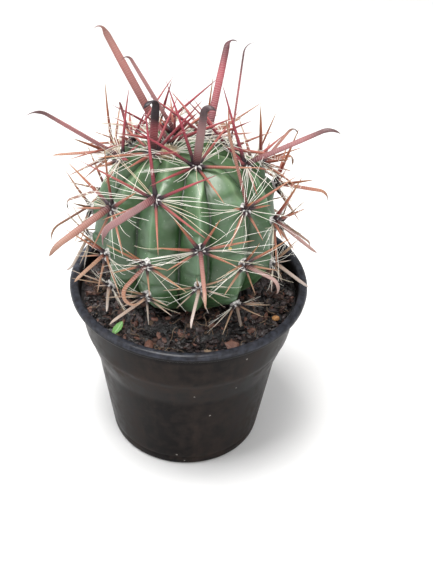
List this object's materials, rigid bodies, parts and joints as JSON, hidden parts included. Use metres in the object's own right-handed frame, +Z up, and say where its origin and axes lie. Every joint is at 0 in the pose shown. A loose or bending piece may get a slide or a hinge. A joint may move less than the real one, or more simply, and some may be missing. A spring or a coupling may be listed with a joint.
{
  "type": "potted cactus",
  "caption": "Round ribbed green cactus with hooked crimson to tan spines, growing in a black tapered plastic nursery pot filled with bark potting mix.",
  "frame": {"origin": "centre of the pot's flat base, where it rests", "axes": "+Z up through the plant, -Y to the side seen first, +X to the right from that side"},
  "size_m": [0.1655, 0.1765, 0.2487],
  "materials": {
    "pot_plastic": "thin black thermoformed plastic, satin, lightly scuffed and dusty",
    "potting_mix": "damp dark composted bark chips and fines",
    "plant_skin": "waxy green plant skin with a thin blue-grey bloom",
    "areole_wool": "short cream to tan wool",
    "spine_crimson": "hard young spines, crimson with dark bases",
    "spine_salmon": "hard spines, salmon to orange",
    "spine_tan": "hard older spines, tan",
    "spine_grey": "hard oldest spines, greyish tan",
    "bark": "rough red-brown bark",
    "pebble_stone": "small orange-tan pebble",
    "leaf_green": "thin fresh green leaf fragment"
  },
  "bodies": {
    "root": {"bark_chip_1": "bark", "bark_chip_2": "bark", "bark_chip_3": "bark", "bark_chip_4": "bark", "cactus_stem": "plant_skin", "crown_wool": "areole_wool", "leaf_fragment": "leaf_green", "nursery_pot": "pot_plastic", "pebble": "pebble_stone", "potting_soil": "potting_mix", "spine_cluster_r01_1": "spine_crimson", "spine_cluster_r01_2": "spine_salmon", "spine_cluster_r01_3": "spine_grey", "spine_cluster_r02_1": "spine_salmon", "spine_cluster_r02_2": "spine_tan", "spine_cluster_r02_3": "spine_grey", "spine_cluster_r03_1": "spine_crimson", "spine_cluster_r03_2": "spine_salmon", "spine_cluster_r03_3": "spine_grey", "spine_cluster_r04_1": "spine_crimson", "spine_cluster_r04_2": "spine_salmon", "spine_cluster_r04_3": "spine_salmon", "spine_cluster_r04_4": "spine_grey", "spine_cluster_r05_1": "spine_crimson", "spine_cluster_r05_2": "spine_salmon", "spine_cluster_r05_3": "spine_grey", "spine_cluster_r06_1": "spine_crimson", "spine_cluster_r06_2": "spine_crimson", "spine_cluster_r06_3": "spine_salmon", "spine_cluster_r06_4": "spine_grey", "spine_cluster_r07_1": "spine_crimson", "spine_cluster_r07_2": "spine_salmon", "spine_cluster_r07_3": "spine_grey", "spine_cluster_r08_1": "spine_crimson", "spine_cluster_r08_2": "spine_salmon", "spine_cluster_r08_3": "spine_tan", "spine_cluster_r08_4": "spine_grey", "spine_cluster_r09_1": "spine_crimson", "spine_cluster_r09_2": "spine_crimson", "spine_cluster_r09_3": "spine_tan", "spine_cluster_r09_4": "spine_grey", "spine_cluster_r10_1": "spine_salmon", "spine_cluster_r10_2": "spine_tan", "spine_cluster_r10_3": "spine_grey", "spine_cluster_r11_1": "spine_crimson", "spine_cluster_r11_2": "spine_tan", "spine_cluster_r11_3": "spine_grey"}
  },
  "joints": []
}
